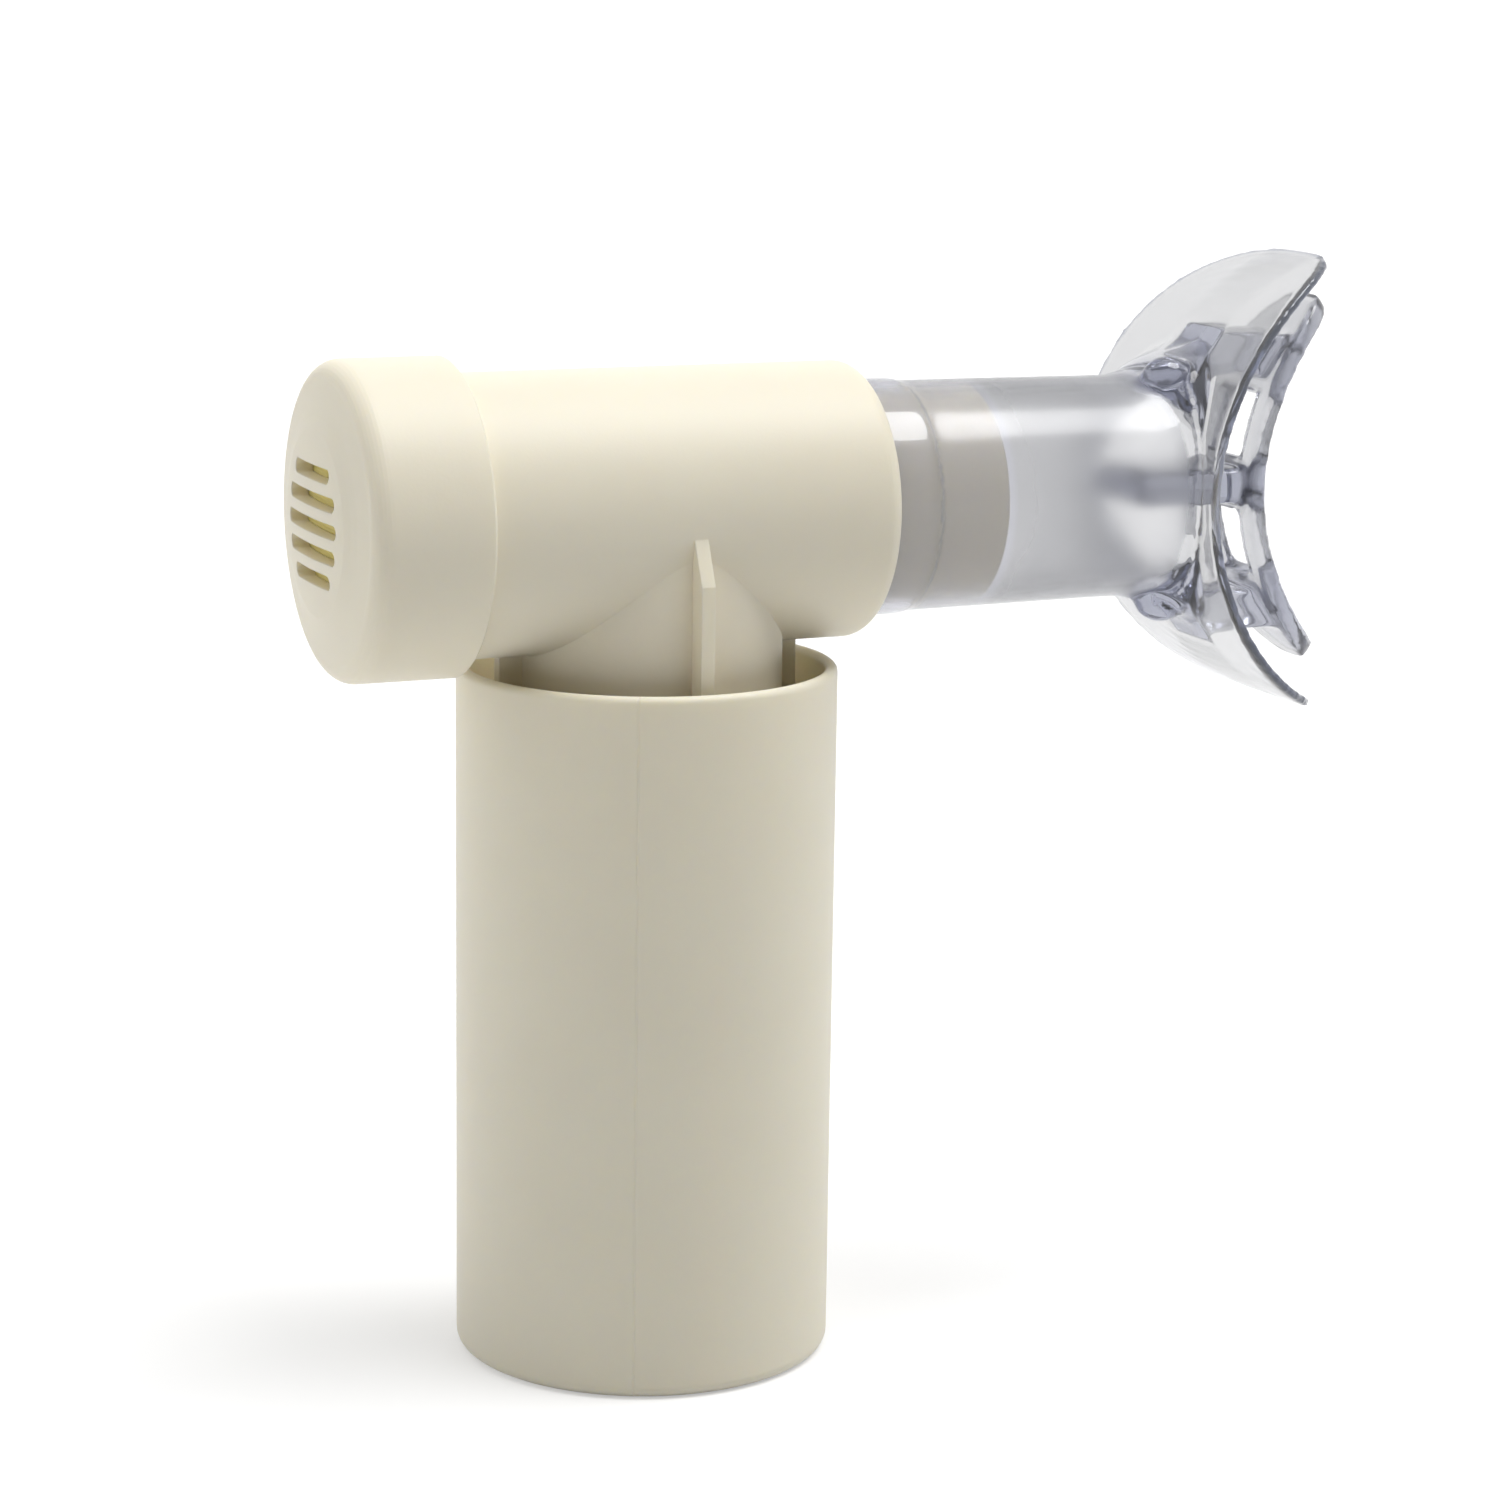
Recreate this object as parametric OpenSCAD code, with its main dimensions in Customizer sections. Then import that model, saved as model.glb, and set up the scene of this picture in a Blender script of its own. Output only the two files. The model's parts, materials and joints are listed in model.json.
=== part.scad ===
// Breathing trainer: a T-shaped hand unit with a vented cap, a clear mouthpiece and a push-on handle cover.
// The stem axis is Z, the head axis is X, and the cover stands on Z = 0.

/* [Handle cover] */
// Outside diameter of the cover
cover_d = 48; // [47:0.5:54]
// Height of the cover
cover_h = 89; // [86:1:96]
// Wall of the cover
cover_wall = 1.6; // [1.2:0.1:2]
// Floor of the cover
cover_floor = 2; // [1.5:0.1:3]
// Rounding of the bottom edge
cover_edge = 1.6; // [0.8:0.1:2.4]
// Width of the ribs that carry the unit inside the cover
cover_rib_w = 3; // [2:0.2:5]

/* [Head] */
// Outside diameter of the head tube
head_d = 35.1; // [34.8:0.1:38]
// Wall of the head tube
head_wall = 1.85; // [1.5:0.05:2.2]
// Reach of the head from the stem axis to its mouthpiece end
head_front = 27.5; // [25:0.5:32]
// Reach of the head tube from the stem axis to its open vent end
head_back = 36.5; // [34:0.5:42]
// Gap between the underside of the head and the rim of the cover
head_rim_gap = 2; // [1:0.1:4]
// Thickness of the wall that closes the mouthpiece end
head_end_wall = 2; // [1.5:0.1:3]
// Rounding of the mouthpiece end
head_round = 2.2; // [1.2:0.1:2.3]

/* [Stem and fins] */
// Outside diameter of the stem
stem_d = 34; // [33:0.1:34.4]
// Wall of the stem
stem_wall = 2; // [1.6:0.1:2.2]
// Drop from the head axis to the shoulder that the valve seat meets
seat_drop = 22.6; // [21.8:0.2:24]
// Ledge that stops the valve seat in the stem
seat_ledge = 1.4; // [1:0.1:2]
// Reach of the fins from the stem axis
fin_reach = 20; // [18:0.5:21]
// Thickness of a fin
fin_t = 1.8; // [1.4:0.1:2.6]
// Drop from the head axis to the top of the front and back fins
fin_top_drop = 1.5; // [1:0.5:5]
// Drop from the head axis to the foot of the slanted fin top
fin_slant_drop = 7; // [6:0.5:12]
// Height of a guide pad at the foot of a fin
pad_h = 8; // [5:0.5:12]
// Width of a guide pad
pad_w = 5; // [3.6:0.2:7]

/* [Mouthpiece spigot] */
// Outside diameter of the spigot that carries the mouthpiece
spigot_d = 27.2; // [26.8:0.1:27.4]
// Wall of the spigot
spigot_wall = 1.4; // [1.1:0.1:2]
// Reach of the spigot from the stem axis
spigot_reach = 43.6; // [40:0.2:48]
// Depth of the socket round the spigot
socket_depth = 14.6; // [10:0.2:18]

/* [Vent cap] */
// Outside diameter of the cap
cap_d = 39.4; // [38.6:0.1:42]
// Reach of the cap skirt from the stem axis to its rim
cap_rim = 26.8; // [25:0.2:30]
// Thickness of the cap front
cap_front = 1.8; // [1.6:0.1:3]
// Space between the end of the head tube and the cap front
cap_space = 3.6; // [3.4:0.1:5]
// Rounding of the front edge
cap_round = 2.5; // [1.5:0.1:3]
// Rise of the domed face in its middle
cap_dome = 1.9; // [0:0.1:3]
// Diameter of the raised round panel in the domed face
panel_d = 25.6; // [24:0.2:28]
// Height of the soft step round the panel
panel_step = 0.3; // [0.1:0.1:0.6]
// Number of air slots
slot_count = 5; // [3:1:5]
// Height of an air slot
slot_h = 1.8; // [1:0.1:2.2]
// Distance from slot to slot
slot_pitch = 3.2; // [3:0.05:3.8]
// Diameter of the circle that the slot ends follow
slot_circle_d = 18.6; // [17:0.2:20]
// Diameter of the gauze disc behind the slots
screen_d = 23; // [21.6:0.2:24]
// Thickness of the gauze disc
screen_t = 0.8; // [0.6:0.1:1]

/* [Exhale valve] */
// Thickness of the valve plate
exhale_plate_t = 2.4; // [2:0.1:3]
// Diameter of the rubber flap
flap_d = 26; // [24:0.5:28]
// Thickness of the flap
flap_t = 0.9; // [0.7:0.1:1.2]
// Lift of the flap
flap_lift = 1.5; // [1:0.1:1.6]
// Number of windows in the valve plate
exhale_windows = 6; // [4:1:8]

/* [Mouthpiece] */
// Outside diameter of the tube where it enters the socket
tube_d = 30.2; // [30:0.05:30.3]
// Outside diameter of the tube at its neck
tube_neck_d = 29; // [28.6:0.1:29.6]
// Reach of the collar from the stem axis
collar_reach = 33.4; // [31:0.2:36]
// Bore of the tube past the spigot
airway_d = 26.2; // [25:0.1:26.4]
// Reach from the stem axis to the start of the neck
neck_reach = 58; // [55:0.5:60]
// Height of the neck where it meets the lip shield
neck_h = 38.4; // [36:0.2:42]
// Reach from the stem axis to the middle of the lip shield
shield_reach = 70; // [68:0.5:74]
// Height of the lip shield
shield_h = 60.6; // [56:0.2:62]
// Width of the lip shield
shield_w = 38; // [34:0.5:42]
// Thickness of the lip shield
shield_t = 1.5; // [1.2:0.1:2]
// Radius of the curve of the lip shield
shield_curve = 31.5; // [31.2:0.1:36]
// Distance from the back of the lip shield to the front of the bite arch
arch_offset = 14.3; // [13:0.1:16]
// Height of the bite arch
arch_h = 45.2; // [42:0.2:50]
// Width of the bite arch
arch_w = 16; // [14:0.5:20]
// Thickness of the bite arch
arch_t = 2.6; // [2:0.1:3]
// Radius of the curve of the bite arch
arch_curve = 27.9; // [26.5:0.1:32]
// Thickness of a bite web between shield and arch
web_t = 4.6; // [4:0.1:6]
// Width of a bite web
web_w = 9; // [7:0.5:12]
// Thickness of the divider bar in the airway
divider_t = 4.8; // [3:0.2:6]

/* [Inhale valve] */
// Diameter of the poppet disc
poppet_d = 21.6; // [21:0.1:22.4]
// Thickness of the poppet disc
poppet_t = 2.2; // [1.8:0.1:3]
// Diameter of the opening under the poppet
seat_hole_d = 18; // [17:0.2:18.4]
// Thickness of the valve seat
seat_t = 5; // [4:0.2:6]
// Lift of the poppet
poppet_lift = 3; // [2:0.1:3.2]
// Number of spokes in the valve seat
seat_spokes = 4; // [3:1:6]

/* [Load mechanism] */
// Diameter of the threaded part of the spindle
thread_d = 5.8; // [5:0.1:6]
// Rise of the load nut for each turn of the knob
thread_pitch = 2.5; // [2:0.1:2.5]
// Turns of the knob from the lowest to the highest load
load_turns = 9; // [6:1:9]
// Diameter of the load nut
nut_d = 22.8; // [21.4:0.2:23]
// Height of the load nut
nut_h = 5; // [4:0.2:6]
// Mean diameter of the load spring
spring_d = 17; // [15.6:0.2:17.6]
// Thickness of the spring wire
spring_wire = 1.4; // [1:0.1:1.6]
// Number of curls of the load spring
spring_curls = 9; // [6:1:10]
// Wall of the scale cage
cage_wall = 1.8; // [1.4:0.1:2.2]
// Height of the lower end of the scale cage above the base
cage_low = 21; // [20.4:0.2:22]
// Thickness of the cage floor
cage_floor = 3; // [2:0.2:3.4]
// Width of a guide slot in the cage
guide_w = 5; // [4:0.2:6]

/* [Tension knob] */
// Diameter of the knob
knob_d = 35; // [30:0.5:37]
// Height of the knob
knob_h = 12; // [10:0.2:12.4]
// Height of the knob above the base
knob_low = 5; // [4.6:0.1:5.4]
// Number of grip flutes
knob_flutes = 18; // [10:1:24]

/* [Fits] */
// Clearance between glued or pressed pieces
press_gap = 0.04; // [0.02:0.01:0.06]
// Clearance between a shaft and its bearing
run_gap = 0.05; // [0.02:0.01:0.08]
// Clearance between pieces that slide by hand
slide_gap = 0.15; // [0.1:0.01:0.2]
// Clearance under a seated piece
seat_gap = 0.15; // [0.1:0.01:0.25]

/* [Hidden] */
$fn = 96;

// One overrun for every cut
over = 1;
// How far joined shapes of one moulding reach into each other
bite = 0.6;
ivory = [0.97, 0.95, 0.88];
clear_violet = [0.78, 0.8, 0.88, 0.45];
soft_grey = [0.82, 0.83, 0.84];
steel = [0.72, 0.73, 0.75];
slate = [0.36, 0.45, 0.6];
rubber = [0.9, 0.9, 0.86];

cover_r = cover_d / 2;
cover_bore = cover_r - cover_wall;
head_r = head_d / 2;
head_bore = head_r - head_wall;
axis_z = cover_h + head_rim_gap + head_r;
stem_r = stem_d / 2;
stem_bore = stem_r - stem_wall;
// Four fins stand round the stem, and the cover has a rib under each
fin_angles = [0, 90, 180, 270];
pad_reach = cover_bore - slide_gap;
pad_depth = pad_reach - fin_reach;
rib_depth_share = 0.75;
rib_reach = pad_reach - pad_depth * rib_depth_share;

// Heights along the stem, from the knob up to the poppet
knob_top = knob_low + knob_h;
cage_seat = cage_low + cage_floor;
bush_flange_t = 1;
nut_rest = 1.8;
nut_low = cage_seat + bush_flange_t + nut_rest;
nut_top = nut_low + nut_h;
load_travel = thread_pitch * load_turns;
guide_top = nut_top + load_travel + poppet_lift + 2 * slide_gap;
stem_low = guide_top + bite * 3 / 2;
pad_low = stem_low + bite;
seat_top = axis_z - seat_drop;
seat_low = seat_top - seat_t;
washer_t = 1;
washer_low = seat_low - washer_t;
lip_h = 0.8;
lip_top = seat_top + lip_h;
seal_t = 0.9;
poppet_low = lip_top + seat_gap + seal_t * 0.5;
poppet_top = poppet_low + poppet_t;

// Scale cage: its sleeve stands inside the stem, and its body matches the stem's outside
cage_r = stem_r;
cage_bore = cage_r - cage_wall;
sleeve_r = stem_bore - press_gap;
sleeve_bore = sleeve_r - spigot_wall;

// Small fittings of the spindle
neck_r = 2;
lower_r = 2.5;
guide_r = 3;
guide_low = washer_low - bite;
clip_t = 1;
clip_r = 4.2;
spindle_head_t = 1;
spindle_head_r = 2.7;
thread_r = thread_d / 2;
thread_low = nut_low - bite;
screw_r = 1.25;
screw_head_r = 4;
screw_head_t = 2;
screw_len = 9;
knob_shelf = knob_low + screw_head_t + spindle_head_t;

// Points along an arc, from one angle to another
function arc(cx, cy, r, from, to, n = 8) =
    [for (i = [0:n]) let (a = from + (to - from) * i / n) [cx + r * cos(a), cy + r * sin(a)]];

// Outline between an ellipse and a rectangle: a higher power gives squarer corners
function soft_oval(a, b, power, n = 64) =
    [for (i = [0:n - 1]) let (t = 360 * i / n, c = cos(t), s = sin(t))
        [a * sign(c) * pow(abs(c), 2 / power), b * sign(s) * pow(abs(s), 2 / power)]];

// Ring between two radii, standing on z = low
module ring(outer, inner, low, high) {
    translate([0, 0, low])
        difference() {
            cylinder(r = outer, h = high - low);
            translate([0, 0, -over])
                cylinder(r = inner, h = high - low + 2 * over);
        }
}

// Lays a shape made along Z down along the head axis, with its start at x = 0
module along_head() {
    translate([0, 0, axis_z])
        rotate([0, 90, 0])
            children();
}

// Extrudes an outline given in Y and Z along X, from one reach to another
module along_x(from, to) {
    translate([from, 0, 0])
        rotate([90, 0, 90])
            linear_extrude(height = to - from)
                children();
}

// Cylinder across the mouthpiece, along Y
module cross_cylinder(x, r, w) {
    translate([x, 0, 0])
        rotate([90, 0, 0])
            cylinder(r = r, h = w, center = true);
}

// Handle cover: a deep cup with a rounded rim, and four ribs inside that carry the unit
module handle_cover() {
    rim_r = cover_wall / 2;
    profile = concat(
        [[0, 0]],
        arc(cover_r - cover_edge, cover_edge, cover_edge, -90, 0),
        arc(cover_r - rim_r, cover_h - rim_r, rim_r, 0, 180),
        arc(cover_bore - cover_edge, cover_floor + cover_edge, cover_edge, 0, -90),
        [[0, cover_floor]]);
    color(ivory)
        union() {
            rotate_extrude()
                polygon(profile);
            for (a = fin_angles)
                rotate([0, 0, a])
                    cover_rib();
        }
}
module cover_rib() {
    difference() {
        translate([rib_reach, -cover_rib_w / 2, cover_floor - bite])
            cube([cover_bore - rib_reach + bite, cover_rib_w, pad_low - seat_gap - cover_floor + bite]);
        ring(cover_r + cover_wall + over, cover_bore + bite / 2, 0, cover_h);
    }
}

// Main body: head tube, stem, fins and spigot in one moulding
module main_body() {
    color(ivory)
        difference() {
            union() {
                along_head()
                    head_tube();
                translate([0, 0, stem_low])
                    cylinder(r = stem_r, h = axis_z - stem_low);
                for (a = fin_angles)
                    rotate([0, 0, a])
                        fin(a % 180 == 0 ? cover_h + head_rim_gap + bite : axis_z - fin_top_drop);
            }
            along_head()
                translate([0, 0, -head_back - over])
                    cylinder(r = head_bore, h = head_back + over + socket_floor - head_end_wall);
            translate([0, 0, stem_low - over])
                cylinder(r = stem_bore, h = seat_top - stem_low + over);
            translate([0, 0, seat_top - over])
                cylinder(r = stem_bore - seat_ledge, h = axis_z - seat_top);
            along_head()
                translate([0, 0, socket_floor])
                    difference() {
                        cylinder(r = socket_r, h = socket_depth + over);
                        translate([0, 0, -over])
                            cylinder(r = spigot_d / 2, h = socket_depth + 3 * over);
                    }
            along_head()
                translate([0, 0, socket_floor - head_end_wall - over])
                    cylinder(r = spigot_d / 2 - spigot_wall, h = spigot_reach);
        }
}
fit_share = 0.6;
socket_floor = head_front - socket_depth;
socket_r = tube_d / 2 + slide_gap * fit_share;
// Head tube with the spigot, along the head axis
module head_tube() {
    spigot_r = spigot_d / 2;
    lip = spigot_wall / 3;
    rotate_extrude()
        polygon(concat(
            [[0, -head_back], [head_r, -head_back]],
            arc(head_r - head_round, head_front - head_round, head_round, 0, 90),
            [[spigot_r, head_front]],
            arc(spigot_r - lip, spigot_reach - lip, lip, 0, 90),
            [[0, spigot_reach]]));
}
// A fin from the stem out to its reach, with a guide pad at its foot
module fin(top) {
    slant_z = min(top, axis_z - fin_slant_drop);
    root = stem_bore + bite;
    crest = min(fin_reach, sqrt(max(head_r * head_r - fin_top_drop * fin_top_drop, 0)));
    rotate([90, 0, 0])
        translate([0, 0, -fin_t / 2])
            linear_extrude(height = fin_t)
                polygon([[root, pad_low], [fin_reach, pad_low], [fin_reach, slant_z], [crest, top], [root, top]]);
    intersection() {
        ring(pad_reach, stem_r - bite, pad_low, pad_low + pad_h);
        rotate([90, 0, 0])
            translate([0, 0, -pad_w / 2])
                linear_extrude(height = pad_w)
                    polygon([[root, pad_low], [cover_bore, pad_low],
                        [cover_bore, pad_low + pad_h - pad_depth], [fin_reach - pad_depth, pad_low + pad_h],
                        [root, pad_low + pad_h]]);
    }
}

// Vent cap: a glued cup over the open end of the head, with air slots in a round panel of its domed face
cap_reach = head_back + cap_space + cap_front;
cap_r = cap_d / 2;
cap_bore = head_r + press_gap;
cap_floor = cap_reach - cap_front;
cap_floor_r = cap_bore - cap_round + cap_front / 3;
dome_steps = 12;
// Rise of a dome at a radius, where it starts from a foot circle
function dome_rise(r, foot_r) = cap_dome * (1 - r * r / foot_r / foot_r);
// Points of the cap's inner face from the middle out to a radius, moved inwards by a gap
function inner_dome(reach, gap) =
    [for (i = [0:dome_steps]) let (r = reach * i / dome_steps) [r, cap_floor - gap + dome_rise(r, cap_floor_r)]];
module vent_cap() {
    foot_r = cap_r - cap_round;
    inner_round = cap_bore - cap_floor_r;
    panel_r = panel_d / 2;
    dome = [for (i = [1:dome_steps])
        let (r = foot_r * (1 - i / dome_steps),
            raised = min(max((panel_r + panel_step - r) / panel_step / 2, 0), 1))
        [r, cap_reach + dome_rise(r, foot_r) + raised * panel_step]];
    profile = concat(
        [[cap_bore, cap_rim]],
        [[cap_r - panel_step, cap_rim], [cap_r, cap_rim + panel_step]],
        arc(cap_r - cap_round, cap_reach - cap_round, cap_round, 0, 90),
        dome,
        inner_dome(cap_floor_r, 0),
        arc(cap_bore - inner_round, cap_floor - inner_round, inner_round, 90, 0));
    color(ivory)
        translate([0, 0, axis_z])
            rotate([0, -90, 0])
                union() {
                    difference() {
                        rotate_extrude()
                            polygon(profile);
                        for (i = [0:slot_count - 1])
                            air_slot((i - (slot_count - 1) / 2) * slot_pitch);
                    }
                    ring(screen_ring_r + screen_t, screen_ring_r, cap_floor, cap_floor + cap_front / 2);
                }
}
// One slot across the cap, as long as the slot circle is wide at its height
module air_slot(height) {
    half = sqrt(slot_circle_d * slot_circle_d / 4 - height * height) - slot_h / 2;
    translate([height, 0, cap_floor - over])
        linear_extrude(height = cap_front + cap_dome + panel_step + 2 * over)
            union() {
                square([slot_h, 2 * half], center = true);
                for (side = [-1, 1])
                    translate([0, side * half])
                        circle(d = slot_h);
            }
}

// Gauze disc behind the slots, pressed into a low ring inside the cap
screen_ring_r = screen_d / 2 + press_gap;
module vent_screen() {
    back = inner_dome(screen_d / 2, screen_t + press_gap);
    color(rubber)
        translate([0, 0, axis_z])
            rotate([0, -90, 0])
                rotate_extrude()
                    polygon(concat(inner_dome(screen_d / 2, press_gap), [for (i = [dome_steps:-1:0]) back[i]]));
}

// Exhale valve: a windowed plate in the end of the head, a rubber flap and its retainer
flap_hole_r = 2;
exhale_x = -head_back;
hub_r = flap_hole_r * 2;
plate_rim = 2.4;
spoke_angle = 12;
module exhale_valve_plate() {
    plate_r = head_bore - press_gap;
    color(soft_grey)
        translate([exhale_x, 0, axis_z])
            rotate([0, 90, 0])
                difference() {
                    cylinder(r = plate_r, h = exhale_plate_t);
                    translate([0, 0, -over])
                        cylinder(r = flap_hole_r, h = exhale_plate_t + 2 * over);
                    translate([0, 0, -over])
                        for (i = [0:exhale_windows - 1])
                            rotate([0, 0, (i + 1 / 2) * 360 / exhale_windows])
                                exhale_window(plate_r - plate_rim);
                }
}
// A wedge window between two spokes
module exhale_window(reach) {
    half_angle = (360 / exhale_windows - spoke_angle) / 2;
    linear_extrude(height = exhale_plate_t + 2 * over)
        polygon(concat(arc(0, 0, reach, -half_angle, half_angle), arc(0, 0, hub_r, half_angle, -half_angle)));
}
module exhale_flap() {
    color(rubber)
        translate([exhale_x - seat_gap - flap_t, 0, axis_z])
            rotate([0, 90, 0])
                difference() {
                    cylinder(r = flap_d / 2, h = flap_t);
                    translate([0, 0, -over])
                        cylinder(r = flap_hole_r + run_gap, h = flap_t + 2 * over);
                }
}
module flap_retainer() {
    stop_gap = flap_t + flap_lift + 2 * seat_gap;
    head_t = cap_space - stop_gap - seat_gap;
    color(soft_grey)
        translate([exhale_x - stop_gap - head_t, 0, axis_z])
            rotate([0, 90, 0])
                union() {
                    cylinder(r = flap_hole_r * 2, h = head_t);
                    cylinder(r = flap_hole_r - press_gap, h = head_t + stop_gap + exhale_plate_t);
                }
}

// Mouthpiece: tube, neck, curved lip shield, bite arch, bite webs and divider bar in one clear moulding
shield_x = shield_reach + shield_curve;
arch_x = shield_reach + arch_offset + arch_curve;
shield_power = 3;
arch_power = 2.3;
neck_steps = 8;
neck_fullness = 0.7;
divider_share = 0.8;
module mouthpiece() {
    entry = socket_floor + seat_gap;
    airway_r = airway_d / 2;
    spigot_bore = spigot_d / 2 + slide_gap * fit_share;
    arch_back = shield_reach + arch_offset - arch_t;
    color(clear_violet)
        translate([0, 0, axis_z])
            difference() {
                union() {
                    rotate([0, 90, 0])
                        rotate_extrude()
                            polygon([[0, entry], [tube_d / 2, entry], [tube_d / 2, collar_reach - seat_gap],
                                [tube_d / 2 - seat_gap, collar_reach],
                                [tube_neck_d / 2, neck_reach + bite], [0, neck_reach + bite]]);
                    mouth_neck();
                    lip_shield();
                    bite_arch();
                    bite_webs();
                }
                rotate([0, 90, 0])
                    translate([0, 0, entry - over])
                        cylinder(r = spigot_bore, h = spigot_reach + seat_gap * 4 - entry + over);
                difference() {
                    rotate([0, 90, 0])
                        translate([0, 0, entry])
                            cylinder(r = airway_r, h = arch_back - over - entry);
                    along_x(neck_reach + tube_d / 6, arch_back)
                        square([airway_d + bite, divider_t], center = true);
                }
            }
}
// Neck that swells from the round tube to the tall oval behind the shield, where the curved sheet trims it
neck_end = shield_x - sqrt(shield_curve * shield_curve - neck_h * neck_h / 4);
function neck_section(i) =
    let (s = i / neck_steps,
        x = neck_reach + s * (neck_end - neck_reach),
        half_h = tube_neck_d / 2 + (neck_h / 2 - tube_neck_d / 2) * (1 - sqrt(1 - s * s)),
        half_w = tube_neck_d / 2)
    [for (p = soft_oval(half_w, half_h, 2 + s * neck_fullness, 48)) [x, p[0], p[1]]];
module mouth_neck() {
    sides = 48;
    rings = [for (i = [0:neck_steps]) neck_section(i)];
    points = [for (section = rings) for (p = section) p];
    walls = [for (i = [0:neck_steps - 1]) for (j = [0:sides - 1])
        let (a = i * sides + j, b = i * sides + (j + 1) % sides)
            each [[a, b + sides, b], [a, a + sides, b + sides]]];
    caps = [[for (j = [0:sides - 1]) j], [for (j = [sides - 1:-1:0]) neck_steps * sides + j]];
    difference() {
        polyhedron(points = points, faces = concat(walls, caps));
        cross_cylinder(shield_x, shield_curve - shield_t / 2, shield_w);
    }
}
// Lip shield: a curved sheet of even thickness, in rows that follow its curve from tip to tip
shield_rows = 32;
function shield_row(i) =
    let (s = cos(180 * (i + 1 / 2) / (shield_rows + 1)),
        t = s * asin(shield_h / 2 / shield_curve),
        w = shield_w / 2 * pow(1 - pow(abs(s), shield_power), 1 / shield_power),
        inner = shield_curve - shield_t)
    [[shield_x - inner * cos(t), -w, inner * sin(t)],
        [shield_x - shield_curve * cos(t), -w, shield_curve * sin(t)],
        [shield_x - shield_curve * cos(t), w, shield_curve * sin(t)],
        [shield_x - inner * cos(t), w, inner * sin(t)]];
module lip_shield() {
    points = [for (i = [0:shield_rows]) each shield_row(i)];
    walls = [for (i = [0:shield_rows - 1]) for (j = [0:3])
        let (a = i * 4 + j, b = i * 4 + (j + 1) % 4)
            each [[a, b + 4, b], [a, a + 4, b + 4]]];
    last = shield_rows * 4;
    polyhedron(points = points, faces = concat(walls, [[0, 1, 2, 3], [last + 3, last + 2, last + 1, last]]));
}
module bite_arch() {
    window_h = airway_d / 2 - divider_t / 2 - arch_t / 2;
    difference() {
        intersection() {
            cross_cylinder(arch_x, arch_curve + arch_t, arch_w + 2 * over);
            along_x(shield_reach, arch_x)
                polygon(soft_oval(arch_w / 2, arch_h / 2, arch_power));
        }
        cross_cylinder(arch_x, arch_curve, arch_w + 4 * over);
        for (side = [-1, 1])
            translate([0, 0, side * (divider_t + window_h) / 2 + side * arch_t / 4])
                along_x(shield_reach, arch_x)
                    square([arch_w / 2, window_h], center = true);
    }
}
// Two bite webs above and below the airway, and the divider bar between them
module bite_webs() {
    web_z = (neck_h - web_t) / 2;
    intersection() {
        difference() {
            cross_cylinder(shield_x, shield_curve - shield_t / 2, shield_w);
            cross_cylinder(arch_x, arch_curve + arch_t / 2, shield_w + over);
        }
        along_x(shield_reach, arch_x)
            union() {
                for (side = [-1, 1])
                    translate([0, side * web_z])
                        square([web_w, web_t], center = true);
                square([arch_w * divider_share, divider_t], center = true);
            }
    }
}

// Inhale valve: the seat with its spoked hub, a gasket, the poppet and its seal
module inhale_valve_seat() {
    seat_r = stem_bore - press_gap;
    gasket_low = seat_top - gasket_t;
    color(soft_grey)
        union() {
            ring(seat_r, seat_hole_d / 2, seat_low, gasket_low);
            ring(gasket_in - press_gap, seat_hole_d / 2, gasket_low - bite, lip_top);
            ring(hub_out, guide_r + run_gap, seat_low, gasket_low);
            for (i = [0:seat_spokes - 1])
                rotate([0, 0, (i + 1 / 2) * 360 / seat_spokes])
                    translate([hub_out - bite, -spoke_t / 2, seat_low])
                        cube([seat_hole_d / 2 - hub_out + 2 * bite, spoke_t, seat_t / 2]);
        }
}
gasket_t = 0.8;
gasket_in = seat_hole_d / 2 + gasket_t * 2;
hub_out = guide_r + spigot_wall;
spoke_t = 1.6;
module seat_gasket() {
    color(rubber)
        ring(stem_bore - press_gap, gasket_in, seat_top - gasket_t, seat_top);
}
module inhale_poppet() {
    seal_reach = poppet_d / 2 - seal_t;
    color(soft_grey)
        difference() {
            union() {
                translate([0, 0, poppet_low])
                    cylinder(r = poppet_d / 2, h = poppet_t);
                translate([0, 0, guide_low])
                    cylinder(r = guide_r, h = poppet_low - guide_low + bite);
            }
            translate([0, 0, guide_low - over])
                cylinder(r = neck_r + run_gap, h = poppet_top - guide_low + 2 * over);
            ring(seal_reach, seal_reach - seal_w, poppet_low - over, poppet_low + seal_t / 2);
        }
}
seal_w = 1.8;
module poppet_seal() {
    seal_reach = poppet_d / 2 - seal_t;
    color(rubber)
        ring(seal_reach - press_gap, seal_reach - seal_w + press_gap, poppet_low - seal_t / 2, poppet_low + seal_t / 2);
}

// Spindle that hangs from the poppet and carries the load nut
module spindle() {
    head_low = poppet_top + seat_gap + clip_t;
    color(steel)
        difference() {
            union() {
                translate([0, 0, knob_shelf])
                    cylinder(r = lower_r, h = thread_low - knob_shelf + bite);
                translate([0, 0, thread_low])
                    cylinder(r = thread_r, h = guide_low - seat_gap - thread_low);
                translate([0, 0, guide_low - seat_gap - bite])
                    cylinder(r = neck_r, h = head_low - guide_low + seat_gap + bite);
                translate([0, 0, head_low])
                    cylinder(r = spindle_head_r, h = spindle_head_t);
            }
            translate([0, 0, knob_shelf - over])
                cylinder(r = screw_r + run_gap, h = screw_len + over);
        }
}
module spindle_clip() {
    clip_low = poppet_top + seat_gap;
    color(steel)
        difference() {
            ring(clip_r, neck_r + press_gap, clip_low, clip_low + clip_t);
            translate([0, -neck_r / 2, clip_low - over])
                cube([clip_r + over, neck_r, clip_t + 2 * over]);
        }
}
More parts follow.
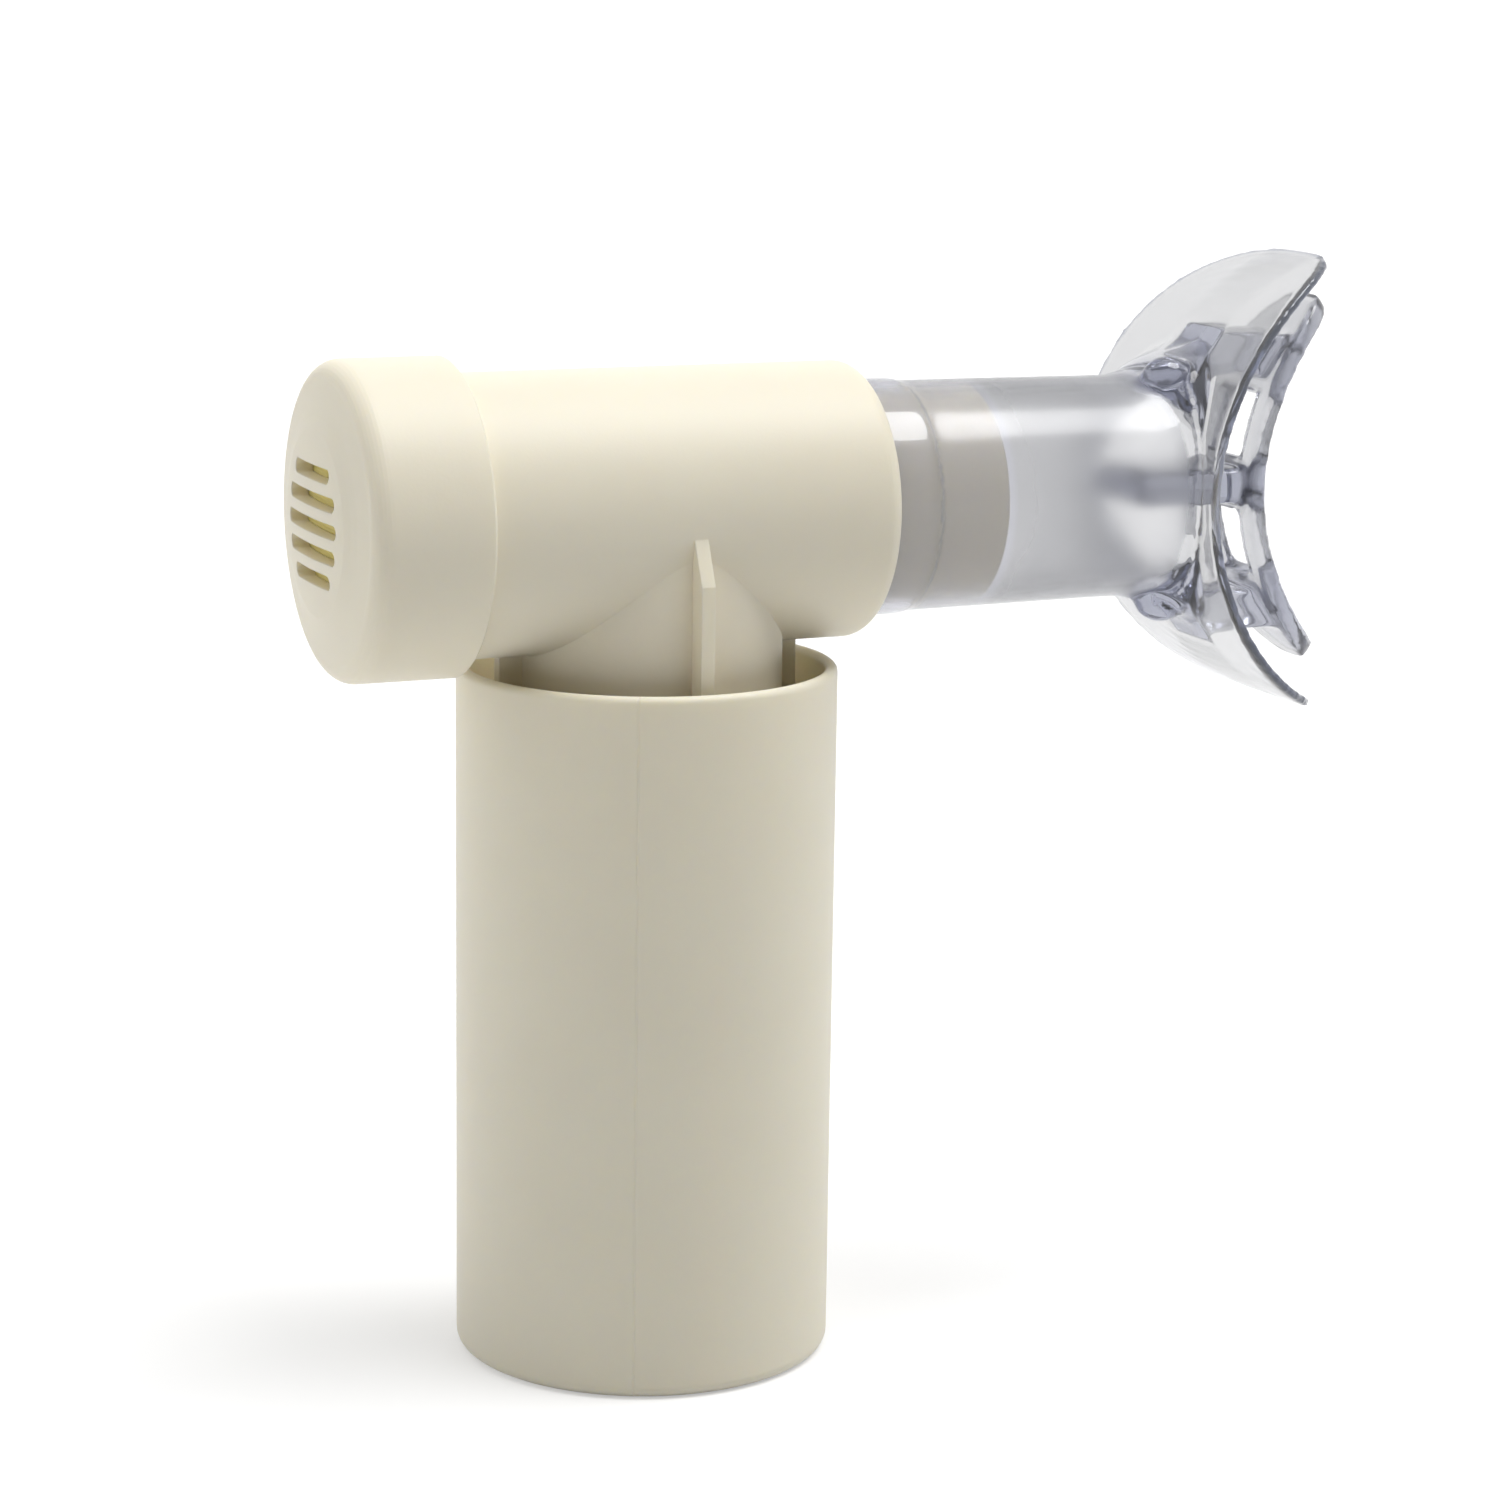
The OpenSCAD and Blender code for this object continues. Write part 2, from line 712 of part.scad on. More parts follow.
module spring_washer() {
    color(steel)
        ring(spring_d / 2 + spring_wire, guide_r + slide_gap, washer_low, seat_low);
}

// Load spring: one wire wound as a helix between the washer and the load nut
rings_per_curl = 8;
wire_sides = 6;
spring_r = spring_d / 2;
wire_r = spring_wire / 2;
spring_low = nut_top + wire_r + seat_gap / 3;
spring_high = washer_low - wire_r - seat_gap / 3;
spring_rings = spring_curls * rings_per_curl;
spring_rise = (spring_high - spring_low) / spring_rings;
function spring_point(i) =
    let (a = 360 * i / rings_per_curl) [spring_r * cos(a), spring_r * sin(a), spring_low + spring_rise * i];
function wire_ring(i) =
    let (a = 360 * i / rings_per_curl,
        c = spring_point(i),
        lean = atan(spring_rise * rings_per_curl / (2 * PI * spring_r)),
        out = [cos(a), sin(a), 0],
        up = [sin(a) * sin(lean), -cos(a) * sin(lean), cos(lean)])
    [for (k = [0:wire_sides - 1]) let (t = 360 * k / wire_sides)
        c + wire_r * (cos(t) * out + sin(t) * up)];
// Least gap between neighbouring curls, measured on points of the helix
spring_gap = min([for (i = [0:rings_per_curl]) for (j = [rings_per_curl / 2:rings_per_curl * 3 / 2])
    norm(spring_point(i + j) - spring_point(i))]) - spring_wire;
module load_spring() {
    echo(spring_gap = spring_gap);
    points = [for (i = [0:spring_rings]) for (p = wire_ring(i)) p];
    walls = [for (i = [0:spring_rings - 1]) for (k = [0:wire_sides - 1])
        let (a = i * wire_sides + k, b = i * wire_sides + (k + 1) % wire_sides)
            each [[a, b, b + wire_sides], [a, b + wire_sides, a + wire_sides]]];
    fans = [for (k = [1:wire_sides - 2]) each [[0, k + 1, k],
        [spring_rings * wire_sides, spring_rings * wire_sides + k, spring_rings * wire_sides + k + 1]]];
    color(steel)
        polyhedron(points = points, faces = concat(walls, fans));
}

// Load nut with two guide tabs, and the pointer that shows the load in the front slot
tab_w = guide_w - 2 * slide_gap;
module load_nut() {
    color(slate)
        difference() {
            union() {
                translate([0, 0, nut_low])
                    cylinder(r = nut_d / 2, h = nut_h);
                translate([-tab_w / 2, -cage_bore - cage_wall / 2, nut_low])
                    cube([tab_w, 2 * cage_bore + cage_wall, nut_h]);
            }
            translate([0, 0, nut_low - over])
                cylinder(r = thread_r + run_gap, h = nut_h + 2 * over);
            pointer_slot(press_gap);
        }
}
pointer_h = nut_h / 3;
pointer_in = cage_bore - cage_wall;
module pointer_slot(gap) {
    translate([-tab_w / 2 - over, -cage_bore - cage_wall - over, nut_low + nut_h / 3 - gap])
        cube([tab_w + 2 * over, cage_bore + cage_wall - pointer_in + over + gap, pointer_h + 2 * gap]);
}
module load_pointer() {
    color("orangered")
        translate([-tab_w / 2, -cage_bore - cage_wall - slide_gap, nut_low + nut_h / 3])
            cube([tab_w, cage_bore + cage_wall + slide_gap - pointer_in, pointer_h]);
}

// Scale cage under the stem: its sleeve holds the valve seat, its slots guide the load nut
strip_depth = 0.4;
// Angles of the strip and of the margin between it and the slot
strip_angle = 34;
strip_margin = 5;
strip_start = asin(guide_w / 2 / cage_r) + strip_margin;
module scale_cage() {
    color(ivory)
        difference() {
            union() {
                ring(cage_r, cage_bore, cage_low, stem_low - seat_gap / 3);
                ring(cage_r, bush_r + press_gap, cage_low, cage_seat);
                ring(sleeve_r, sleeve_bore, stem_low - cage_wall, seat_low - seat_gap / 3);
                ring(cage_r - strip_depth * 2, sleeve_bore, stem_low - cage_wall - bite, stem_low - seat_gap);
            }
            for (side = [-1, 1])
                translate([-guide_w / 2, side < 0 ? -cage_r - over : 0, cage_seat + bush_flange_t / 2])
                    cube([guide_w, cage_r + over, guide_top - cage_seat - bush_flange_t / 2]);
            strip_shape(cage_r - strip_depth - press_gap, over, press_gap);
        }
}
// Curved strip beside the front slot, between an inner radius and the cage surface
module strip_shape(inner, proud, gap) {
    low = cage_seat + bush_flange_t;
    high = stem_low - cage_wall;
    translate([0, 0, low - gap])
        rotate([0, 0, -90 + strip_start])
            linear_extrude(height = high - low + 2 * gap)
                polygon(concat(
                    arc(0, 0, cage_r + proud, 0, strip_angle, 12),
                    arc(0, 0, inner, strip_angle, 0, 12)));
}
module scale_strip() {
    color("white")
        strip_shape(cage_r - strip_depth, 0, 0);
}
bush_r = 4;
module spindle_bush() {
    color(soft_grey)
        difference() {
            union() {
                translate([0, 0, cage_low])
                    cylinder(r = bush_r, h = cage_floor + bush_flange_t / 2);
                translate([0, 0, cage_seat])
                    cylinder(r = bush_r + bush_flange_t, h = bush_flange_t);
            }
            translate([0, 0, cage_low - over])
                cylinder(r = lower_r + run_gap, h = cage_floor + bush_flange_t + 2 * over);
        }
}

// Tension knob at the foot of the spindle, with grip flutes, and the screw that holds it
flute_r = 1.7;
module tension_knob() {
    knob_r = knob_d / 2;
    edge = flute_r / 2;
    color(slate)
        difference() {
            translate([0, 0, knob_low])
                rotate_extrude()
                    polygon([[0, 0], [knob_r - edge, 0], [knob_r, edge], [knob_r, knob_h - edge],
                        [knob_r - edge, knob_h], [0, knob_h]]);
            for (i = [0:knob_flutes - 1])
                rotate([0, 0, i * 360 / knob_flutes])
                    translate([knob_r + flute_r / 2, 0, knob_low - over])
                        cylinder(r = flute_r, h = knob_h + 2 * over);
            translate([0, 0, knob_low - over])
                cylinder(r = lower_r + press_gap, h = knob_h + 2 * over);
            translate([0, 0, knob_low - over])
                cylinder(r = screw_head_r + slide_gap, h = knob_shelf - knob_low + over);
            ring(knob_r - 3 * flute_r, bush_r + 3 * flute_r, knob_top - cage_floor, knob_top + over);
        }
}
module knob_screw() {
    color(steel)
        union() {
            translate([0, 0, knob_shelf - screw_head_t])
                cylinder(r = screw_head_r, h = screw_head_t);
            translate([0, 0, knob_shelf - bite])
                cylinder(r = screw_r, h = screw_len + bite - over);
        }
}

main_body();
vent_cap();
vent_screen();
exhale_valve_plate();
exhale_flap();
flap_retainer();
mouthpiece();
inhale_valve_seat();
seat_gasket();
inhale_poppet();
poppet_seal();
spindle();
spindle_clip();
spring_washer();
load_spring();
load_nut();
load_pointer();
scale_cage();
scale_strip();
spindle_bush();
tension_knob();
knob_screw();
handle_cover();
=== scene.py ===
import json
import math

import bmesh
import bpy
from mathutils import Matrix, Vector

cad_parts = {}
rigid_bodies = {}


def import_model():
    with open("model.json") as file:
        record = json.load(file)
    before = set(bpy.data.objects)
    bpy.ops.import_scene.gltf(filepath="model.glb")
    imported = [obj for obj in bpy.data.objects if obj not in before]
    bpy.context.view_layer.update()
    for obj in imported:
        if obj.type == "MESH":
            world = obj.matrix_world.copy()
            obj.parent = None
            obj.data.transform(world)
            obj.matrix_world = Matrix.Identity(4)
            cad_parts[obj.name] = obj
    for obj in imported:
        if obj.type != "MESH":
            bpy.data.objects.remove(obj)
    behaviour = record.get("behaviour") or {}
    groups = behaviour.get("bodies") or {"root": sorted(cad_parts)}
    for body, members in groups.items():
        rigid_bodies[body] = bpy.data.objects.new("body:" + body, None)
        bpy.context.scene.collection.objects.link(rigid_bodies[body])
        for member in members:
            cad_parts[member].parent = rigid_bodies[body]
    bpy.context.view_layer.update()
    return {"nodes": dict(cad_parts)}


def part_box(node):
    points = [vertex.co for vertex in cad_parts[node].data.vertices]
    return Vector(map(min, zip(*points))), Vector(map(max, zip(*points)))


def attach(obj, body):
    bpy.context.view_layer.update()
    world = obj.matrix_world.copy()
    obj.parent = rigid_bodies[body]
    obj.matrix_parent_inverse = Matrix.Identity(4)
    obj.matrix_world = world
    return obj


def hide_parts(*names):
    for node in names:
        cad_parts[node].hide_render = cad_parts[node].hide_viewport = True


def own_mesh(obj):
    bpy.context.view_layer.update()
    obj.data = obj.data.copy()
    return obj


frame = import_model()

# Handle cover: the deep cup that the unit stands in, and its grip. It is injection moulded in ivory
# plastic with a fine matte grain, and its two mould halves leave a thin parting line up each side.
MM = 0.001
IVORY, GLOW_TINT, GLOW_DEPTH = (0.87, 0.81, 0.66), (1.0, 0.85, 0.5), 2.5
CLOUD_SCALE, SPECKLE_SCALE, SPECKLE_DEPTH = 55, 2600, 0.05
PARTING_TURN, PARTING_WIDTH, PARTING_DEPTH = math.radians(24), 0.22, 0.12


def node(tree, kind, **sockets):
    """Adds a shader node and sets its input values by name."""
    made = tree.nodes.new("ShaderNode" + kind)
    for name, value in sockets.items():
        made.inputs[name.replace("_", " ")].default_value = value
    return made


def shader_of(name):
    """Starts a material, and gives its node tree, its surface shader and its object coordinates."""
    material = bpy.data.materials.new(name)
    material.use_nodes = True
    tree = material.node_tree
    tree.nodes.clear()
    shader = node(tree, "BsdfPrincipled")
    tree.links.new(shader.outputs["BSDF"], node(tree, "OutputMaterial").inputs["Surface"])
    return material, tree, shader, node(tree, "TexCoord").outputs["Object"]


def ranged(tree, value, low, high):
    """Turns a value from zero to one into one from low to high."""
    spread = node(tree, "MapRange")
    spread.inputs["To Min"].default_value = low
    spread.inputs["To Max"].default_value = high
    tree.links.new(value, spread.inputs["Value"])
    return spread.outputs["Result"]


def moulded(name, colour, roughness=0.5, grain=0.2, mottle=0.012, edge=0.25, glow=0.0):
    """Moulded plastic: a slightly uneven colour, a fine spark-eroded grain and softened edges."""
    material, tree, shader, place = shader_of(name)
    clouds = node(tree, "TexNoise", Scale=CLOUD_SCALE, Detail=3)
    tree.links.new(place, clouds.inputs["Vector"])
    tint = node(tree, "ValToRGB")
    tint.color_ramp.elements[0].position = 0.35
    tint.color_ramp.elements[1].position = 0.65
    tint.color_ramp.elements[0].color = (*[c * (1 - mottle) for c in colour], 1)
    tint.color_ramp.elements[1].color = (*[min(c * (1 + mottle), 1) for c in colour], 1)
    tree.links.new(clouds.outputs["Fac"], tint.inputs["Fac"])
    tree.links.new(tint.outputs["Color"], shader.inputs["Base Color"])
    sheen = ranged(tree, clouds.outputs["Fac"], roughness - 0.05, roughness + 0.05)
    tree.links.new(sheen, shader.inputs["Roughness"])
    speckle = node(tree, "TexNoise", Scale=SPECKLE_SCALE, Detail=2)
    tree.links.new(place, speckle.inputs["Vector"])
    rounded = node(tree, "Bevel", Radius=edge * MM)
    rounded.samples = 4
    bump = node(tree, "Bump", Strength=grain, Distance=SPECKLE_DEPTH * MM)
    tree.links.new(speckle.outputs["Fac"], bump.inputs["Height"])
    tree.links.new(rounded.outputs["Normal"], bump.inputs["Normal"])
    tree.links.new(bump.outputs["Normal"], shader.inputs["Normal"])
    if glow:
        shader.inputs["Subsurface Weight"].default_value = glow
        shader.inputs["Subsurface Radius"].default_value = GLOW_TINT
        shader.inputs["Subsurface Scale"].default_value = GLOW_DEPTH * MM
    return material


def finish_nodes(material, *names):
    """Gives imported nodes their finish."""
    for name in names:
        for slot in frame["nodes"][name].material_slots:
            slot.material = material


def parts_of(material):
    """Finds a moulded finish's tree, shader, object coordinates and bump again."""
    tree = material.node_tree
    shader, source, bump = (next(part for part in tree.nodes if part.type == kind)
                            for kind in ("BSDF_PRINCIPLED", "TEX_COORD", "BUMP"))
    return tree, shader, source.outputs["Object"], bump


def add_parting_line(material, turn, width, depth):
    """Cuts a fine groove into the finish along the mould's parting plane, which holds the stem axis."""
    tree, shader, place, bump = parts_of(material)
    across = node(tree, "VectorMath")
    across.operation = "DOT_PRODUCT"
    across.inputs[1].default_value = (math.cos(turn), -math.sin(turn), 0)
    tree.links.new(place, across.inputs[0])
    beside = node(tree, "Math")
    beside.operation = "ABSOLUTE"
    tree.links.new(across.outputs["Value"], beside.inputs[0])
    groove = node(tree, "MapRange")
    groove.inputs["From Max"].default_value = width * MM
    tree.links.new(beside.outputs["Value"], groove.inputs["Value"])
    cut = node(tree, "Bump", Strength=0.6, Distance=depth * MM)
    tree.links.new(groove.outputs["Result"], cut.inputs["Height"])
    tree.links.new(bump.outputs["Normal"], cut.inputs["Normal"])
    tree.links.new(cut.outputs["Normal"], shader.inputs["Normal"])


cover_ivory = moulded("ivory_cover", IVORY, edge=0.55, glow=0.5)
add_parting_line(cover_ivory, PARTING_TURN, PARTING_WIDTH, PARTING_DEPTH)
finish_nodes(cover_ivory, "handle_cover")

# Body moulding: head tube, stem, fins and spigot in one shot of the same ivory plastic. The vent cap
# is a second ivory moulding, glued over the open end of the head.
ivory = moulded("ivory_body", IVORY, glow=0.3)
finish_nodes(ivory, "main_body", "vent_cap")

# Exhale side: a gauze disc, yellowed with age, shows through the slots of the cap. Behind it are the
# silicone disc that lets breath out, the windowed plate that it closes, and the post that holds it.
GAUZE_PITCH, GAUZE_DEPTH = 0.45, 0.15
WAVE_LENGTH = math.pi / 10  # metres that one wave takes at a Scale of 1


def larger(tree, first, second):
    """The larger of two shader values."""
    either = node(tree, "Math")
    either.operation = "MAXIMUM"
    tree.links.new(first, either.inputs[0])
    tree.links.new(second, either.inputs[1])
    return either.outputs["Value"]


def add_weave(material, pitch, depth):
    """Presses a fine over and under weave into a finish, along Y and Z."""
    tree, _, place, bump = parts_of(material)
    threads = []
    for way in ("Y", "Z"):
        wave = node(tree, "TexWave", Scale=WAVE_LENGTH / (pitch * MM))
        wave.bands_direction = way
        tree.links.new(place, wave.inputs["Vector"])
        threads.append(wave.outputs["Fac"])
    bump.inputs["Distance"].default_value = depth * MM
    tree.links.new(larger(tree, *threads), bump.inputs["Height"])


gauze = moulded("yellowed_gauze", (1, 0.83, 0.28), roughness=0.6, grain=0.6, glow=0.4)
add_weave(gauze, GAUZE_PITCH, GAUZE_DEPTH)
yellowed = moulded("yellowed_plate", (0.66, 0.52, 0.24), roughness=0.5)
tan_rubber = moulded("tan_silicone", (0.8, 0.66, 0.36), roughness=0.55, edge=0.1, glow=0.3)
grey = moulded("grey_fitting", (0.6, 0.61, 0.62), roughness=0.42)
finish_nodes(gauze, "vent_screen")
finish_nodes(yellowed, "exhale_valve_plate")
finish_nodes(tan_rubber, "exhale_flap")
finish_nodes(grey, "flap_retainer")

# Inhale valve: a spoked grey seat at the top of the stem with a rubber gasket, and the poppet that
# closes it on a rubber ring. The sleeve of the scale cage holds the seat up.
pale_rubber = moulded("pale_silicone", (0.7, 0.68, 0.6), roughness=0.55, edge=0.1)
finish_nodes(grey, "inhale_valve_seat", "inhale_poppet")
finish_nodes(pale_rubber, "seat_gasket", "poppet_seal")

# Spindle and its small steel parts: the spindle hangs from the poppet by a clip, and is turned from
# bar with a coarse left-hand thread, so that the nut climbs as the knob turns. The screw holds the knob.
THREAD_PITCH, THREAD_CREST_R, THREAD_ROOT_R, THREAD_FOOT_R = 2.5, 2.9, 2.35, 2.25
THREAD_FORM = ((THREAD_FOOT_R, 0.1), (THREAD_CREST_R, 0.55), (THREAD_CREST_R, 1.15),
               (THREAD_FOOT_R, 1.6))
THREAD_LOW, THREAD_HIGH, THREAD_RUN_OUT, THREAD_BEVEL = 26.2, 79.2, 2, 0.4
SHAFT_LOW, SHAFT_R, SHAFT_BEVEL, CORE_R, ROD_R = 8, 2.5, 0.3, 1.3, 2
HEAD_R, HEAD_H, HEAD_BEVEL = 2.7, 1, 0.3


def turned_steel(name, colour, roughness, ring_scale):
    """Bare steel with the fine rings that a lathe leaves round the stem axis."""
    material, tree, shader, place = shader_of(name)
    shader.inputs["Metallic"].default_value = 1
    stretched = node(tree, "Mapping", Scale=(60, 60, ring_scale))
    tree.links.new(place, stretched.inputs["Vector"])
    rings = node(tree, "TexNoise", Scale=1, Detail=3)
    tree.links.new(stretched.outputs["Vector"], rings.inputs["Vector"])
    tone = node(tree, "ValToRGB")
    tone.color_ramp.elements[0].color = (*[c * 0.85 for c in colour], 1)
    tone.color_ramp.elements[1].color = (*colour, 1)
    tree.links.new(rings.outputs["Fac"], tone.inputs["Fac"])
    tree.links.new(tone.outputs["Color"], shader.inputs["Base Color"])
    polish = ranged(tree, rings.outputs["Fac"], roughness - 0.08, roughness + 0.1)
    tree.links.new(polish, shader.inputs["Roughness"])
    bump = node(tree, "Bump", Strength=0.25, Distance=0.02 * MM)
    tree.links.new(rings.outputs["Fac"], bump.inputs["Height"])
    tree.links.new(bump.outputs["Normal"], shader.inputs["Normal"])
    return material


def mesh_from(bm, name):
    """Ends a bmesh, and gives its mesh."""
    mesh = bpy.data.meshes.new(name)
    bm.to_mesh(mesh)
    bm.free()
    return mesh


def placed(name, data):
    """Puts a new object in the scene."""
    thing = bpy.data.objects.new(name, data)
    bpy.context.scene.collection.objects.link(thing)
    return thing


def piece_from(bm, name, body, finish, replaced=()):
    """Brings a mesh from millimetres to its piece, which rides on a body and stands for CAD nodes."""
    bmesh.ops.scale(bm, vec=(MM, MM, MM), verts=bm.verts)
    piece = placed(name, mesh_from(bm, name))
    piece.data.materials.append(finish)
    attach(piece, body)
    if replaced:
        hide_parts(*replaced)
    return piece


def lathed(bm, outline, axis=(0, 0, 1), steps=48):
    """Spins a closed outline, drawn as X and Z, all the way round an axis."""
    corners = [bm.verts.new((x, 0, z)) for x, z in outline]
    sides = [bm.edges.new((corners[i - 1], corners[i])) for i in range(len(corners))]
    bmesh.ops.spin(bm, geom=corners + sides, cent=(0, 0, 0), axis=axis, angle=math.tau, steps=steps,
                   use_merge=True)


def coiled(bm, section, turns, pitch, per_turn=36, hand=1):
    """Sweeps a closed section, drawn as X and Z, up a helix round the stem axis."""
    corners = [bm.verts.new((x, 0, z)) for x, z in section]
    face = bm.faces.new(corners)
    steps = round(turns * per_turn)
    bmesh.ops.spin(bm, geom=corners + face.edges[:] + [face], cent=(0, 0, 0), axis=(0, 0, 1),
                   angle=hand * math.tau * steps / per_turn, dvec=(0, 0, pitch / per_turn), steps=steps)


steel = turned_steel("turned_steel", (0.56, 0.57, 0.6), 0.3, 9000)
head_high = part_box("spindle")[1].z / MM
head_low = head_high - HEAD_H
spindle = bmesh.new()
coiled(spindle, [(away, THREAD_LOW + high) for away, high in THREAD_FORM],
       (THREAD_HIGH - THREAD_LOW - THREAD_RUN_OUT) / THREAD_PITCH, THREAD_PITCH, hand=-1)
lathed(spindle, ((CORE_R, SHAFT_LOW), (SHAFT_R, SHAFT_LOW), (SHAFT_R, THREAD_LOW - SHAFT_BEVEL),
                 (THREAD_ROOT_R, THREAD_LOW), (THREAD_ROOT_R, THREAD_HIGH - THREAD_BEVEL),
                 (ROD_R, THREAD_HIGH), (ROD_R, head_low), (HEAD_R, head_low),
                 (HEAD_R, head_high - HEAD_BEVEL), (HEAD_R - HEAD_BEVEL, head_high), (CORE_R, head_high)))
bmesh.ops.recalc_face_normals(spindle, faces=spindle.faces)
piece_from(spindle, "threaded_spindle", "spindle", steel, ("spindle",))
finish_nodes(steel, "spindle_clip", "spring_washer", "knob_screw")

# Load spring: drawn steel wire, coiled with its end turns closed. It stands loose round the spindle,
# between the washer at its top and the load nut. On the real unit it gets shorter as the nut climbs; here
# it keeps one length.
WIRE_R, WIRE_SIDES, COIL_R, COILS, CLOSED_SPACING = 0.7, 12, 8.5, 9, 2.1
SEAT_GAP, NUT_CLIMB = 0.05, 22.5
washer_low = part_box("spring_washer")[0].z / MM
nut_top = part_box("load_nut")[1].z / MM
wire_low, wire_high = nut_top + WIRE_R + SEAT_GAP, washer_low - WIRE_R - SEAT_GAP
even_pitch = (wire_high - wire_low) / COILS
closed_pitch = WIRE_R * CLOSED_SPACING
open_pitch = (wire_high - wire_low - 2 * closed_pitch) / (COILS - 2)
spring = bmesh.new()
around = [side * math.tau / WIRE_SIDES for side in range(WIRE_SIDES)]
coiled(spring, [(COIL_R + WIRE_R * math.cos(turn), wire_low + WIRE_R * math.sin(turn))
                for turn in around], COILS, even_pitch)
for corner in spring.verts:
    share = math.atan2(corner.co.y, corner.co.x) / math.tau
    turn = min(max(round((corner.co.z - wire_low) / even_pitch - share) + share, 0), COILS)
    open_turns = min(max(turn - 1, 0), COILS - 2)
    corner.co.z += (turn - open_turns) * closed_pitch + open_turns * open_pitch - turn * even_pitch
bmesh.ops.recalc_face_normals(spring, faces=spring.faces)
for face in spring.faces:
    face.smooth = len(face.verts) == 4
coil = piece_from(spring, "coiled_spring", "body",
                  turned_steel("drawn_wire", (0.5, 0.51, 0.54), 0.34, 900), ("load_spring",))
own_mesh(coil)

# Load nut, cage and knob: the slate nut climbs in the slots of the ivory cage, and its red pointer
# shows the load on the white strip beside the front slot. The knob below turns the spindle.
STRIP_R, STRIP_TURN, FIRST_MARK, MARKS = 17, math.radians(-76.5), 29.3, 10
TICK_X, TICK_HALF_L, TICK_HALF_W, FIGURE_X, FIGURE_SIZE = 1.6, 1.2, 0.13, 6, 2.4
INK_LIFT, INK_T = 0.05, 0.03
slate = moulded("slate_knob", (0.1, 0.17, 0.32), roughness=0.4)
red = moulded("red_pointer", (0.7, 0.09, 0.03), roughness=0.32)
white = moulded("white_strip", (0.82, 0.82, 0.8), roughness=0.35)
ink = moulded("printed_ink", (0.05, 0.06, 0.09), roughness=0.45, mottle=0.1, edge=0.01)
finish_nodes(slate, "load_nut", "tension_knob")
finish_nodes(red, "load_pointer")
finish_nodes(ivory, "scale_cage")
finish_nodes(white, "scale_strip")
finish_nodes(grey, "spindle_bush")


def upright(across, high):
    """Stands a flat drawing up to face the front, at a place across and up the strip."""
    return Matrix.Translation((across, 0, high)) @ Matrix.Rotation(math.pi / 2, 4, "X")


def settled(thing):
    """Works out an object's text or modifiers into a plain mesh, and clears the object away."""
    graph = bpy.context.evaluated_depsgraph_get()
    mesh = bpy.data.meshes.new_from_object(thing.evaluated_get(graph))
    bpy.data.batch_remove((thing, thing.data))
    return mesh


scale_print = bmesh.new()
for mark in range(MARKS):
    high = FIRST_MARK + mark * THREAD_PITCH
    tick = upright(TICK_X, high) @ Matrix.Diagonal((TICK_HALF_L, TICK_HALF_W, 1, 1))
    bmesh.ops.create_grid(scale_print, x_segments=6, y_segments=1, size=1, matrix=tick)
    figure = bpy.data.curves.new("number", "FONT")
    figure.body, figure.size = str(mark), FIGURE_SIZE
    figure.align_x, figure.align_y = "CENTER", "CENTER"
    flat = settled(placed("number", figure))
    flat.transform(upright(FIGURE_X, high))
    scale_print.from_mesh(flat)
    bpy.data.meshes.remove(flat)
bmesh.ops.remove_doubles(scale_print, verts=scale_print.verts, dist=0.001)
for corner in scale_print.verts:
    turn = STRIP_TURN + corner.co.x / STRIP_R
    corner.co.xy = (STRIP_R + INK_LIFT) * math.cos(turn), (STRIP_R + INK_LIFT) * math.sin(turn)
scale_print.normal_update()
bmesh.ops.reverse_faces(scale_print, faces=[face for face in scale_print.faces
                                            if face.normal.xy.dot(face.calc_center_median().xy) < 0])
bmesh.ops.solidify(scale_print, geom=scale_print.faces[:], thickness=INK_T)
piece_from(scale_print, "scale_numbers", "body", ink)

# Mouthpiece: one moulding of clear soft vinyl with a faint violet cast. Its tube pushes onto the
# spigot up to a raised collar, and its neck swells into the curved lip shield. Two webs and a
# divider bar carry the bite arch on the mouth's side of the shield.
AXIS_Z = 108.55
ENTRY_X, COLLAR_X, SPIGOT_END_X, NECK_X, RING_X, FACE_X = 13.05, 33.4, 44.2, 60, 70, 70.5
TUBE_R, NECK_R, SPIGOT_BORE_R, AIRWAY_R = 15.1, 14.5, 13.7, 13.1
TUBE_OUTLINE = ((ENTRY_X, SPIGOT_BORE_R), (SPIGOT_END_X, SPIGOT_BORE_R), (NECK_X, AIRWAY_R),
                (FACE_X, AIRWAY_R), (FACE_X, NECK_R), (RING_X - 0.6, NECK_R + 0.8),
                (RING_X - 2.5, NECK_R + 0.4), (RING_X - 5.5, NECK_R), (NECK_X, NECK_R),
                (COLLAR_X + 0.3, TUBE_R - 0.35), (COLLAR_X, TUBE_R), (ENTRY_X, TUBE_R))
NECK_STATIONS = ((NECK_X, 14.3, 14.3, 2), (65, 14.1, 14.3, 2), (68, 13.9, 14.9, 2.2),
                 (70.4, 13.6, 16.2, 2.6))
NECK_END_HALF_W, NECK_END_HALF_H, NECK_END_POWER = 13.5, 18.6, 2.9
SHEET_X, SHEET_R, SHEET_T, SHEET_POWER, SHEET_LOOPS = 101.5, 31.5, 1.25, 2.75, 12
SHIELD_HALF_W, SHIELD_HALF_H = 19, 30.3
ARCH_X, ARCH_R, ARCH_T, ARCH_HALF_W, ARCH_TURN = 112.2, 30.5, 2.6, 8, math.radians(54)
ARCH_POWER, ARCH_END_HALF_W, WINDOW_FROM, WINDOW_TO = 2.6, 1.6, 3.4, 12.4
WEB_TOP, WEB_T, WEB_W = 19.5, 4.9, 9.2
WEB_CORNERS = ((70, 13.3), (72.6, 16.4), (77.5, WEB_TOP), (89.2, WEB_TOP), (86.2, WEB_TOP - WEB_T),
               (76, 13.8))
